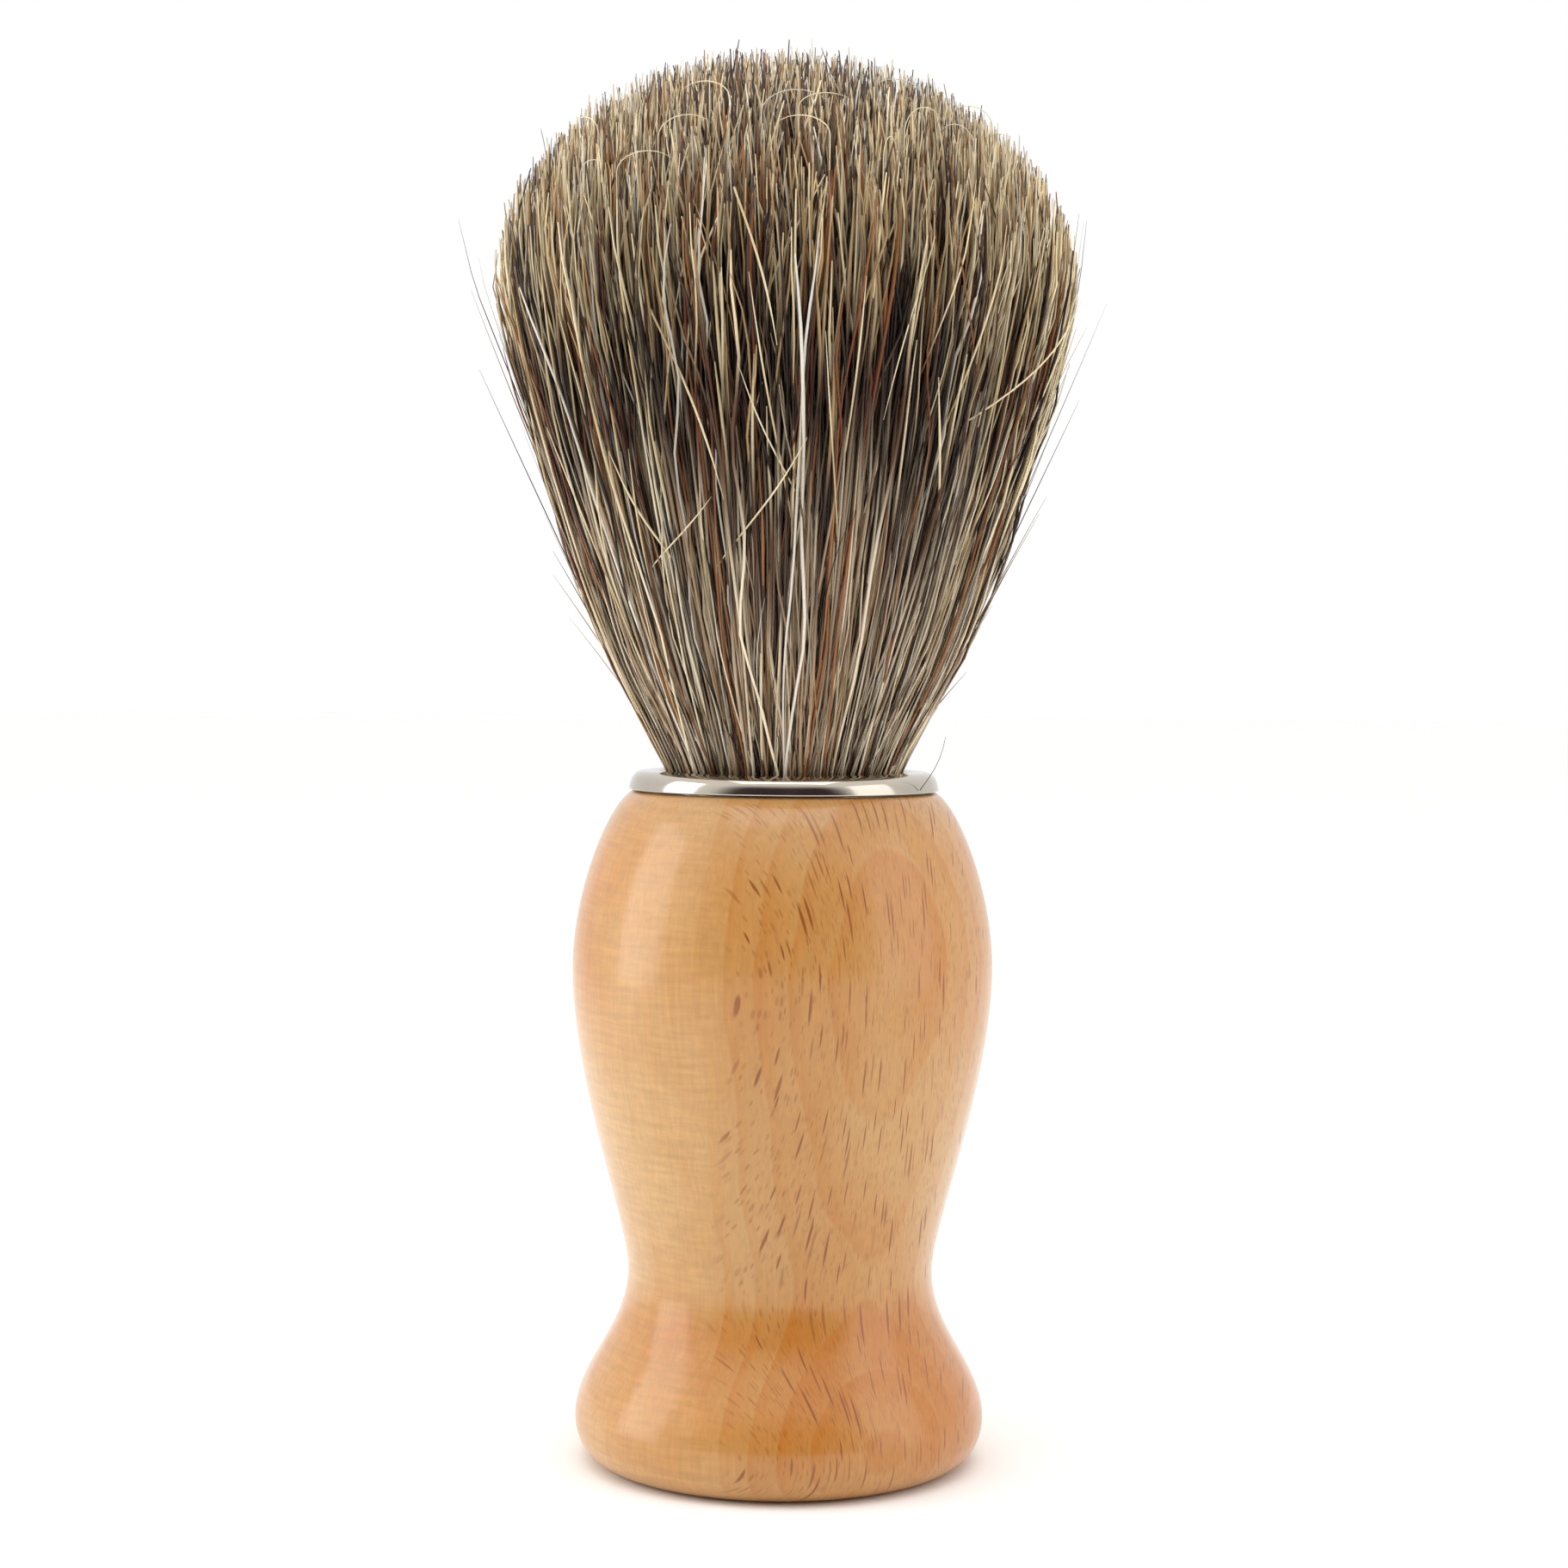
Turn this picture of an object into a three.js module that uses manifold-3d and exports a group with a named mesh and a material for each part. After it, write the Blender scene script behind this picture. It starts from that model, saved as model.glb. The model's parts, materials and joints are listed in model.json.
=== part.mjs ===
// A shaving brush: a turned beech handle, a plated collar and a bound knot of mixed bristle.
// Millimetres, +Z up. The origin is the centre of the flat base that the brush stands on.

import * as THREE from 'three';
import { mergeVertices } from 'three/addons/utils/BufferGeometryUtils.js';
import Module from 'manifold-3d';

const manifoldLibrary = await Module();
manifoldLibrary.setup();

const gap = 0.3; // clearance left between neighbouring pieces
const turnSteps = 36; // facets around every turned piece
const curveSteps = 7; // facets along each curve of an outline

// The handle, from the flat foot up: base bulb, waist, belly, shoulder, and the top under the collar.
const footRadius = 13;
const bulbRadius = 16.05;
const bulbHeight = 3.45;
const waistRadius = 11.97;
const waistHeight = 14.9;
const bellyRadius = 16.45;
const bellyHeight = 38.8;
const shoulderRadius = 11.8;
const handleHeight = 52.5;

// How far each curve of the handle runs on in its end's direction before it bends away.
const footRun = 1.6;
const bulbRunDown = 2.25;
const bulbRunUp = 3.75;
const waistRunDown = 4.8;
const waistRunUp = 3.8;
const bellyRunDown = 9.2;
const bellyRunUp = 5.5;
const shoulderRunOut = 2;
const shoulderRunDown = 1;

// The blind socket, bored down from the top of the handle.
const socketRadius = 10.5;
const socketDepth = 16;
const socketFloor = handleHeight - socketDepth;

// The collar: a turned ring whose thin skirt goes down into the socket.
const collarRadius = 12.1;
const collarBoreRadius = 9.6;
const collarCrestRadius = 10.3;
const collarRoll = 0.6;
const collarLipHeight = 0.45;
const collarHeight = 1.3;
const collarSeat = handleHeight + gap;
const collarTop = collarSeat + collarHeight;
const skirtLength = 6;

// The foot of the knot, from the socket floor up: adhesive, cast plug, bound roots.
const adhesiveThickness = 1;
const plugRadius = 9.3;
const plugThickness = 5;
const rootRadius = 9.2;
const boundRadius = 8.3;
const threadRadius = 0.42;
const threadTurns = 3;

// The hair bends about a point above the collar, so the faces that slide are parts of spheres about it.
const bendHeight = 59;
const ballRadius = 10.5;
const neckThickness = 1.8;
const neckHalfAngle = THREE.MathUtils.degToRad(29);

// The bulb of hair above the collar.
const flareRadius = 13.2;
const flareHeight = 61.7;
const bloomRadius = 23.1;
const bloomHeight = 91;
const crownHeight = 109.6;
const flareLean = THREE.MathUtils.degToRad(24);
const flareRun = 14;
const bloomRunDown = 11.5;
const bloomRunUp = 10.5;
const crownRunOut = 13;
const coreFootRadius = 4.3;
const coreTopRadius = 10;
const coreSwellHeight = 80;
const tuftCount = 12;

const up = new THREE.Vector3(0, 0, 1);

// Points along a part of a circle in the outline plane, from one angle above the horizontal to another.
function arcPoints(centreHeight, radius, fromAngle, toAngle, steps) {
  return Array.from({ length: steps + 1 }, (_, i) => {
    const angle = fromAngle + ((toAngle - fromAngle) * i) / steps;
    return new THREE.Vector2(radius * Math.cos(angle), centreHeight + radius * Math.sin(angle));
  });
}

// A closed solid from a three.js geometry, with shared corners merged and its faces pointing out.
function solidFrom(geometry) {
  const bare = new THREE.BufferGeometry();
  bare.setAttribute('position', geometry.getAttribute('position').clone());
  bare.setIndex(geometry.getIndex());
  const merged = mergeVertices(bare, 1e-5);
  const corners = merged.getIndex().array;
  const triangles = [];
  for (let i = 0; i < corners.length; i += 3) {
    const [a, b, c] = corners.slice(i, i + 3);
    if (a !== b && b !== c && c !== a) triangles.push(a, b, c);
  }
  const vertProperties = new Float32Array(merged.getAttribute('position').array);
  const makeSolid = (triVerts) =>
    new manifoldLibrary.Manifold(new manifoldLibrary.Mesh({ numProp: 3, vertProperties, triVerts }));
  const solid = makeSolid(new Uint32Array(triangles));
  return solid.volume() > 0 ? solid : makeSolid(new Uint32Array(triangles.reverse()));
}

// A turned solid: the outline's x is the radius and its y is the height.
function turned(outline) {
  const geometry = new THREE.LatheGeometry(outline, turnSteps);
  geometry.rotateX(Math.PI / 2);
  return solidFrom(geometry);
}

function geometryFrom(solid) {
  const { vertProperties, triVerts } = solid.getMesh();
  const geometry = new THREE.BufferGeometry();
  geometry.setAttribute('position', new THREE.BufferAttribute(vertProperties, 3));
  geometry.setIndex(new THREE.BufferAttribute(triVerts, 1));
  geometry.computeVertexNormals();
  return geometry;
}

// A curve that leaves one point upright and arrives at the next upright.
function addUprightCurve(outline, from, runUp, to, runDown) {
  outline.bezierCurveTo(from.x, from.y + runUp, to.x, to.y - runDown, to.x, to.y);
}

// One outline on the axis at both ends: up the outside of the handle, then down inside the socket.
function handleSolid() {
  const bulb = new THREE.Vector2(bulbRadius, bulbHeight);
  const waist = new THREE.Vector2(waistRadius, waistHeight);
  const belly = new THREE.Vector2(bellyRadius, bellyHeight);
  const shoulderTurn = [shoulderRadius + shoulderRunOut, handleHeight - shoulderRunDown];
  const outline = new THREE.Path();
  outline.moveTo(0, 0);
  outline.lineTo(footRadius, 0);
  outline.bezierCurveTo(footRadius + footRun, 0, bulbRadius, bulbHeight - bulbRunDown, bulb.x, bulb.y);
  addUprightCurve(outline, bulb, bulbRunUp, waist, waistRunDown);
  addUprightCurve(outline, waist, waistRunUp, belly, bellyRunDown);
  outline.bezierCurveTo(bellyRadius, bellyHeight + bellyRunUp, ...shoulderTurn, shoulderRadius, handleHeight);
  outline.lineTo(socketRadius, handleHeight);
  outline.lineTo(socketRadius, socketFloor);
  outline.lineTo(0, socketFloor);
  return turned(outline.getPoints(curveSteps));
}

// The ring has a thin upright lip, a domed face that rolls over into the bore, and a skirt below.
function collarSolid() {
  const skirtRadius = socketRadius - gap;
  const skirtFoot = collarSeat - skirtLength;
  const domeSteps = 5;
  const outline = new THREE.Path();
  outline.moveTo(collarBoreRadius, skirtFoot);
  outline.lineTo(skirtRadius, skirtFoot);
  outline.lineTo(skirtRadius, collarSeat);
  outline.lineTo(collarRadius, collarSeat);
  outline.lineTo(collarRadius, collarSeat + collarLipHeight);
  outline.quadraticCurveTo(collarRadius - collarLipHeight, collarTop, collarCrestRadius, collarTop);
  outline.quadraticCurveTo(collarBoreRadius, collarTop, collarBoreRadius, collarTop - collarRoll);
  outline.lineTo(collarBoreRadius, skirtFoot);
  return turned(outline.getPoints(domeSteps));
}

function discSolid(radius, bottom, thickness) {
  const top = bottom + thickness;
  const outline = [
    new THREE.Vector2(0, bottom),
    new THREE.Vector2(radius, bottom),
    new THREE.Vector2(radius, top),
    new THREE.Vector2(0, top),
  ];
  return turned(outline);
}

const adhesiveBottom = socketFloor + gap;
const plugBottom = adhesiveBottom + adhesiveThickness + gap;
const rootsBottom = plugBottom + plugThickness + gap;
const boundTop = rootsBottom + 2 * threadRadius * threadTurns + gap;

// The turns of binding thread lie side by side and are drawn tight, so they join into one ribbed band.
function bindingSolid() {
  const innerRadius = boundRadius + gap;
  const bandBottom = rootsBottom + gap;
  const outline = [new THREE.Vector2(innerRadius, bandBottom)];
  for (let turn = 0; turn < threadTurns; turn += 1) {
    const middle = bandBottom + threadRadius * (2 * turn + 1);
    const rib = arcPoints(middle, threadRadius, -Math.PI / 3, Math.PI / 3, 4);
    rib.forEach((point) => outline.push(new THREE.Vector2(innerRadius + point.x, point.y)));
  }
  outline.push(new THREE.Vector2(innerRadius, bandBottom + 2 * threadRadius * threadTurns));
  outline.push(outline[0].clone());
  return turned(outline);
}

// The roots are waisted where the thread grips them, and their top is a cup about the bend point.
function rootsSolid() {
  const cupRadius = ballRadius + neckThickness + 2 * gap;
  const cupEdge = -Math.acos(rootRadius / cupRadius);
  const cup = arcPoints(bendHeight, cupRadius, cupEdge, -Math.PI / 2, curveSteps);
  const outline = [
    new THREE.Vector2(0, rootsBottom),
    new THREE.Vector2(boundRadius, rootsBottom),
    new THREE.Vector2(boundRadius, boundTop + gap),
    new THREE.Vector2(rootRadius, boundTop + 2 * gap),
    ...cup,
  ];
  return turned(outline);
}

// The short flexing length of hair just above the binding, as a shallow bowl about the bend point.
function neckSolid() {
  const rim = neckHalfAngle - Math.PI / 2;
  const below = arcPoints(bendHeight, ballRadius + gap + neckThickness, -Math.PI / 2, rim, 5);
  const above = arcPoints(bendHeight, ballRadius + gap, rim, -Math.PI / 2, 5);
  return turned([...below, ...above]);
}

// The whole bulb: a ball that sits in the neck, a flare over the collar, and a domed top.
function bulbSolid() {
  const outline = new THREE.Path();
  const flareTurn = new THREE.Vector2(0, flareRun).rotateAround(new THREE.Vector2(), -flareLean);
  flareTurn.add(new THREE.Vector2(flareRadius, flareHeight));
  const bloomTurnHeight = bloomHeight - bloomRunDown;
  outline.moveTo(ballRadius, bendHeight);
  outline.lineTo(flareRadius, flareHeight);
  outline.bezierCurveTo(flareTurn.x, flareTurn.y, bloomRadius, bloomTurnHeight, bloomRadius, bloomHeight);
  outline.bezierCurveTo(bloomRadius, bloomHeight + bloomRunUp, crownRunOut, crownHeight, 0, crownHeight);
  const ball = arcPoints(bendHeight, ballRadius, -Math.PI / 2, 0, curveSteps);
  return turned([...ball.slice(0, -1), ...outline.getPoints(curveSteps)]);
}

// The column that divides the central lock from the outer ones, wider towards the top.
function coreColumn(extra) {
  const foot = bendHeight - 2 * ballRadius;
  const top = crownHeight + 1;
  const footReach = coreFootRadius + extra;
  const topReach = coreTopRadius + extra;
  const outline = new THREE.Path();
  outline.moveTo(0, foot);
  outline.lineTo(footReach, foot);
  outline.lineTo(footReach, bendHeight);
  outline.quadraticCurveTo(topReach, coreSwellHeight, topReach, top);
  outline.lineTo(0, top);
  return turned(outline.getPoints(curveSteps));
}

// A tall wedge that holds one of the equal sectors about the axis, drawn in by half the clearance.
function sectorWedge(middleAngle) {
  const halfSector = Math.PI / tuftCount;
  const reach = 2 * bloomRadius;
  const tip = gap / 2 / Math.sin(halfSector);
  const far = tip + reach * Math.cos(halfSector);
  const side = reach * Math.sin(halfSector);
  const section = new THREE.Shape();
  section.moveTo(tip, 0);
  section.lineTo(far, -side);
  section.lineTo(far, side);
  section.closePath();
  const wedge = new THREE.ExtrudeGeometry(section, { depth: 2 * crownHeight, bevelEnabled: false });
  wedge.applyMatrix4(new THREE.Matrix4().makeRotationAxis(up, middleAngle));
  return solidFrom(wedge);
}

const beech = { color: '#d39a5f', roughness: 0.35, metalness: 0 };
const nickel = { color: '#cfcbc4', roughness: 0.16, metalness: 1 };
const resin = { color: '#c9a765', roughness: 0.3, metalness: 0 };
const glue = { color: '#ddd2b4', roughness: 0.5, metalness: 0 };
const thread = { color: '#e6dfcf', roughness: 0.9, metalness: 0 };
const rootHair = { color: '#b9a88f', roughness: 0.8, metalness: 0 };
const bloomHair = { color: '#a28a70', roughness: 0.8, metalness: 0 };

const brush = new THREE.Group();

function addPiece(name, solid, look) {
  const piece = new THREE.Mesh(geometryFrom(solid), new THREE.MeshStandardMaterial(look));
  piece.name = name;
  brush.add(piece);
}

addPiece('handle', handleSolid(), beech);
addPiece('collar', collarSolid(), nickel);
addPiece('socket_adhesive', discSolid(socketRadius - gap, adhesiveBottom, adhesiveThickness), glue);
addPiece('knot_plug', discSolid(plugRadius, plugBottom, plugThickness), resin);
addPiece('root_binding', bindingSolid(), thread);
addPiece('hair_roots', rootsSolid(), rootHair);
addPiece('hair_neck', neckSolid(), rootHair);

const bulb = bulbSolid();
addPiece('hair_core', bulb.intersect(coreColumn(0)), bloomHair);

const outerBulb = bulb.subtract(coreColumn(gap));
for (let i = 0; i < tuftCount; i += 1) {
  const middleAngle = (2 * Math.PI * i) / tuftCount;
  const tuft = outerBulb.intersect(sectorWedge(middleAngle));
  addPiece(`hair_tuft_${String(i + 1).padStart(2, '0')}`, tuft, bloomHair);
}

export default brush;
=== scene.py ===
import json
import math

import bmesh
import bpy
import numpy as np
from mathutils import Matrix, Vector
from mathutils.geometry import interpolate_bezier


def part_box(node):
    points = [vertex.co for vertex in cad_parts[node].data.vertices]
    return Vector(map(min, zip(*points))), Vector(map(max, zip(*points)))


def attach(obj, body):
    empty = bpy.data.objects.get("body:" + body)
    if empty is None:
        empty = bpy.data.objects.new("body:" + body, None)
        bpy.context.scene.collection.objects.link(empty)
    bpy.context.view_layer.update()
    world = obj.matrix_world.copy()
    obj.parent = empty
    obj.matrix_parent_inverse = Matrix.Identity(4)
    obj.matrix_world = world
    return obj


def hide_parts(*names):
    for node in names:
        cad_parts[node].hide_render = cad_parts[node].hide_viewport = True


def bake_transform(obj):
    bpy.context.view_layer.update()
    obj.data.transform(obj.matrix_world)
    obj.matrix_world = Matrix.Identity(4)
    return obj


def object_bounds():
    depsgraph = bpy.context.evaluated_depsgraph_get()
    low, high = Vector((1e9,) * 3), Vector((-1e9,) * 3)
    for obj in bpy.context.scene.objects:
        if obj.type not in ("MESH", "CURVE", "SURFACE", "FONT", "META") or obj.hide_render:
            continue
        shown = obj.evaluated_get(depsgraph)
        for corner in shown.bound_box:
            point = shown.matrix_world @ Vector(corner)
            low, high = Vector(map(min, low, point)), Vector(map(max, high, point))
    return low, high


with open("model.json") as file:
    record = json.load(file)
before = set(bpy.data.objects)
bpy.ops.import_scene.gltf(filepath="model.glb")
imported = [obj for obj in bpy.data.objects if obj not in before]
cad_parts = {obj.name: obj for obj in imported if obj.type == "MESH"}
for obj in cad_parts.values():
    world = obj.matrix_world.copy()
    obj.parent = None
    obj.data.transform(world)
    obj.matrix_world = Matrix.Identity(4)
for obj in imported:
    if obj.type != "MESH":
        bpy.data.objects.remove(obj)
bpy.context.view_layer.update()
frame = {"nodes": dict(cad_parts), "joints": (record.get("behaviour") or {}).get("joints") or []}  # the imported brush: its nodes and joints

mm = 0.001
bendHeight = frame["joints"][0]["pos_m"][2] / mm
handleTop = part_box("handle")[1][2] / mm
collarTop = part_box("collar")[1][2] / mm
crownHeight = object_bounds()[1][2] / mm
tuftCount = 12


# a colour as people pick it on screen, turned to linear light
def srgb(code):
    channels = [int(code[i:i + 2], 16) / 255 for i in (1, 3, 5)]
    linear = [c / 12.92 if c <= 0.04045 else ((c + 0.055) / 1.055) ** 2.4 for c in channels]
    return (*linear, 1.0)


# adds one node: its settings, then what each input takes, a value or another node's output
def addNode(tree, kind, inputs=None, stops=None, **settings):
    node = tree.nodes.new(kind)
    for name, value in settings.items():
        setattr(node, name, value)
    for socket, value in (inputs or {}).items():
        if isinstance(value, bpy.types.NodeSocket):
            tree.links.new(value, node.inputs[socket])
        else:
            node.inputs[socket].default_value = value
    if stops:
        ramp = node.color_ramp
        while len(ramp.elements) < len(stops):
            ramp.elements.new(0.5)
        for element, (place, colour) in zip(ramp.elements, stops):
            element.position = place
            element.color = srgb(colour) if isinstance(colour, str) else (colour, colour, colour, 1)
    return node


def newMaterial(name):
    material = bpy.data.materials.new(name)
    material.use_nodes = True
    tree = material.node_tree
    return material, tree, tree.nodes["Principled BSDF"]


cameraSettings = {
    "distance": 235.0,  # mm in front of the brush's axis
    "height": 62.93,
    "pitchDown": 2.41,  # degrees
    "roll": 0.484,
    "sideways": 0.0,
    "lens": 68.94,
    "sensor": 36.0,
}


def addCamera():
    data = bpy.data.cameras.new("camera")
    data.lens = cameraSettings["lens"]
    data.sensor_width = cameraSettings["sensor"]
    data.clip_start = 0.01
    camera = bpy.data.objects.new("camera", data)
    bpy.context.collection.objects.link(camera)
    place = Vector((cameraSettings["sideways"], -cameraSettings["distance"], cameraSettings["height"])) * mm
    tilt = Matrix.Rotation(math.radians(90 - cameraSettings["pitchDown"]), 4, "X")
    roll = Matrix.Rotation(math.radians(cameraSettings["roll"]), 4, "Z")
    camera.matrix_world = Matrix.Translation(place) @ tilt @ roll
    bpy.context.scene.camera = camera


lightSettings = [
    # name, place and size in mm, and how bright it looks: soft boxes that all face the middle of the brush
    {"name": "leftBox", "place": (-340, -38, 110), "size": (180, 360), "bright": 2.65},
    {"name": "rightBox", "place": (325, -115, 110), "size": (220, 340), "bright": 1.02},
    {"name": "topBox", "place": (0, -100, 430), "size": (380, 290), "bright": 1.8},
]
studio = {
    "aim": (0, 0, 60),  # mm, where the soft boxes point
    "above": 1.16,
    "level": 0.98,
    "rise": (0.2, 0.7),  # the room brightens between these heights on the unit sphere
    "viewerSide": (0.06, 0.043, 0.048, 1),
    "gapSide": (-0.5, -0.8),  # the dark gap fades in between these depths towards the viewer
    "gapLow": (0.75, 0.45),  # and fades out between these heights
    "floorColour": "#fbfbfa",
    "floorRadius": 3.0,  # m
}


def addLights():
    aim = Vector(studio["aim"]) * mm
    for settings in lightSettings:
        data = bpy.data.lights.new(settings["name"], "AREA")
        data.shape = "RECTANGLE"
        data.size, data.size_y = [side * mm for side in settings["size"]]
        data.energy = settings["bright"] * math.pi * data.size * data.size_y
        light = bpy.data.objects.new(settings["name"], data)
        bpy.context.collection.objects.link(light)
        place = Vector(settings["place"]) * mm
        turn = (aim - place).to_track_quat("-Z", "Y").to_matrix().to_4x4()
        light.matrix_world = Matrix.Translation(place) @ turn
    # a white room, brighter overhead, with a dark gap on the side the viewer stands
    world = bpy.data.worlds.new("studio")
    bpy.context.scene.world = world
    world.use_nodes = True
    tree = world.node_tree
    tree.nodes.clear()
    place = addNode(tree, "ShaderNodeTexCoord")
    parts = addNode(tree, "ShaderNodeSeparateXYZ", {0: place.outputs["Generated"]})
    riseFrom, riseTo = studio["rise"]
    room = addNode(
        tree, "ShaderNodeMapRange",
        {0: parts.outputs["Z"], 1: riseFrom, 2: riseTo, 3: studio["level"], 4: studio["above"]},
        interpolation_type="SMOOTHSTEP",
    )
    sideFrom, sideTo = studio["gapSide"]
    viewerSide = addNode(
        tree, "ShaderNodeMapRange", {0: parts.outputs["Y"], 1: sideFrom, 2: sideTo},
        interpolation_type="SMOOTHSTEP",
    )
    lowFrom, lowTo = studio["gapLow"]
    low = addNode(
        tree, "ShaderNodeMapRange", {0: parts.outputs["Z"], 1: lowFrom, 2: lowTo},
        interpolation_type="SMOOTHSTEP",
    )
    gap = addNode(
        tree, "ShaderNodeMath", {0: viewerSide.outputs[0], 1: low.outputs[0]}, operation="MULTIPLY"
    )
    shade = addNode(
        tree, "ShaderNodeMix", {0: gap.outputs[0], 6: room.outputs[0], 7: studio["viewerSide"]},
        data_type="RGBA",
    )
    path = addNode(tree, "ShaderNodeLightPath")
    seen = addNode(
        tree, "ShaderNodeMix", {0: path.outputs["Is Camera Ray"], 6: shade.outputs[2], 7: (1, 1, 1, 1)},
        data_type="RGBA",
    )
    glow = addNode(tree, "ShaderNodeBackground", {0: seen.outputs[2], 1: 1.0})
    addNode(tree, "ShaderNodeOutputWorld", {0: glow.outputs[0]})


def addFloor():
    mesh = bmesh.new()
    bmesh.ops.create_circle(mesh, cap_ends=True, radius=studio["floorRadius"], segments=96)
    data = bpy.data.meshes.new("floor")
    mesh.to_mesh(data)
    floor = bpy.data.objects.new("floor", data)
    bpy.context.collection.objects.link(floor)
    material, tree, shader = newMaterial("paleStudioSheet")
    shader.inputs["Base Color"].default_value = srgb(studio["floorColour"])
    shader.inputs["Roughness"].default_value = 0.9
    data.materials.append(material)


addCamera()
addLights()
addFloor()
print("camera, lights and floor are set")


# Beech, turned and finished in clear satin lacquer: warm tan, with short dark ray flecks where the rays
# end at the surface, faint growth rings, fine pores and fibres, all under a soft even shine.
beech = {
    "pith": (13.5, -24.0),  # where the heart of the tree lay, mm from the axis
    "ringSpacing": 2.2,
    "ringDrift": 4.2,
    "rayDrift": 1.1,
    "pale": "#c79c64",
    "flesh": "#c08949",
    "rusty": "#b97328",
    "fleck": "#8a4812",
    "arcRadius": 20.0,  # mm from the pith at which distances around it are true
    "driftScale": 0.045,
    "fleckCell": (0.52, 6.2),  # mm around the pith and along the grain
    "fleckEdge": (0.26, 0.15),  # where a fleck starts and where it is full, as a part of its cell
    "fleckDepth": (0.05, 0.9),
    "poreCell": (0.19, 1.05),
    "poreEdge": (0.42, 0.2),
    "poreDepth": 0.5,
    "fibre": (0.14, 2.2),
    "fibreTone": (0.92, 1.08),
    "rippleScale": (0.3, 2.6, 0.3),
    "rippleTone": (0.95, 1.1),
    # the ends of the rays show where the surface faces the pith, and again where it faces right away
    "facesPith": (-0.04, -0.3),
    "facesAway": (0.8, 0.97),
    "ringTones": [(0.0, 0.62), (0.07, 0.36), (0.16, 0.42), (0.6, 0.47), (0.93, 0.62), (1.0, 0.64)],
    "ringDepth": (0.07, 0.23),
    "patchScale": (0.1, 0.1, 0.055),
    "paintedSheenShare": 0.62,  # how much of the broad tone comes from the painted sheen bands, and how much from patches
    # painted sheen: how rusty the wood is from the foot of the handle to its top, rustier where the surface
    # faces up and paler where it faces down to the white floor
    "paintedSheenBands": [
        (0.0, 0.48), (0.1, 0.62), (0.22, 0.64), (0.31, 0.42),
        (0.55, 0.42), (0.74, 0.55), (0.9, 0.55), (1.0, 0.46),
    ],
    "toneStops": (0.42, 0.54, 0.65),  # where the tone turns pale, flesh and rusty
    "roughness": 0.45,
    "specular": 0.3,
    "coat": 0.72,
    "coatRoughness": 0.16,
}


def shiftBy(tree, place, drift, amount):
    centred = addNode(tree, "ShaderNodeVectorMath", {0: drift, 1: (0.5, 0.5, 0.5)}, operation="SUBTRACT")
    scaled = addNode(
        tree, "ShaderNodeVectorMath", {0: centred.outputs[0], "Scale": amount}, operation="SCALE"
    )
    return addNode(
        tree, "ShaderNodeVectorMath", {0: place, 1: scaled.outputs[0]}, operation="ADD"
    ).outputs[0]


# places measured from the pith: how far around, how far out and how high, and the way out as an arrow
def fromPith(tree, place):
    moved = addNode(tree, "ShaderNodeVectorMath", {0: place, 1: (*beech["pith"], 0)}, operation="SUBTRACT")
    parts = addNode(tree, "ShaderNodeSeparateXYZ", {0: moved.outputs[0]})
    flat = addNode(tree, "ShaderNodeCombineXYZ", {0: parts.outputs["X"], 1: parts.outputs["Y"]})
    out = addNode(tree, "ShaderNodeVectorMath", {0: flat.outputs[0]}, operation="LENGTH").outputs["Value"]
    angle = addNode(
        tree, "ShaderNodeMath", {0: parts.outputs["X"], 1: parts.outputs["Y"]}, operation="ARCTAN2"
    )
    around = addNode(
        tree, "ShaderNodeMath", {0: angle.outputs[0], 1: beech["arcRadius"]}, operation="MULTIPLY"
    ).outputs[0]
    wayOut = addNode(tree, "ShaderNodeVectorMath", {0: flat.outputs[0]}, operation="NORMALIZE").outputs[0]
    woodPlace = addNode(tree, "ShaderNodeCombineXYZ", {0: around, 1: parts.outputs["Z"], 2: out}).outputs[0]
    return woodPlace, out, wayOut


# small lens-shaped marks, one in each cell of the given size in mm; shrink narrows them
def grainMarks(tree, woodPlace, cell, edge, core, shrink=1.0):
    scaled = addNode(
        tree, "ShaderNodeVectorMath", {0: woodPlace, 1: (1 / cell[0], 1 / cell[1], 0)}, operation="MULTIPLY"
    )
    cells = addNode(
        tree, "ShaderNodeTexVoronoi", {"Vector": scaled.outputs[0], "Scale": 1.0, "Randomness": 0.92},
        voronoi_dimensions="2D",
    )
    chance = addNode(tree, "ShaderNodeSeparateColor", {0: cells.outputs["Color"]})
    sizes = addNode(tree, "ShaderNodeMapRange", {0: chance.outputs[1], 3: 0.8, 4: 1.7})
    smaller = addNode(tree, "ShaderNodeMath", {0: sizes.outputs[0], 1: shrink}, operation="MULTIPLY")
    far = addNode(
        tree, "ShaderNodeMath", {0: cells.outputs["Distance"], 1: smaller.outputs[0]},
        operation="MULTIPLY",
    )
    mark = addNode(tree, "ShaderNodeMapRange", {0: far.outputs[0], 1: edge, 2: core})
    return mark.outputs[0], chance


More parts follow.
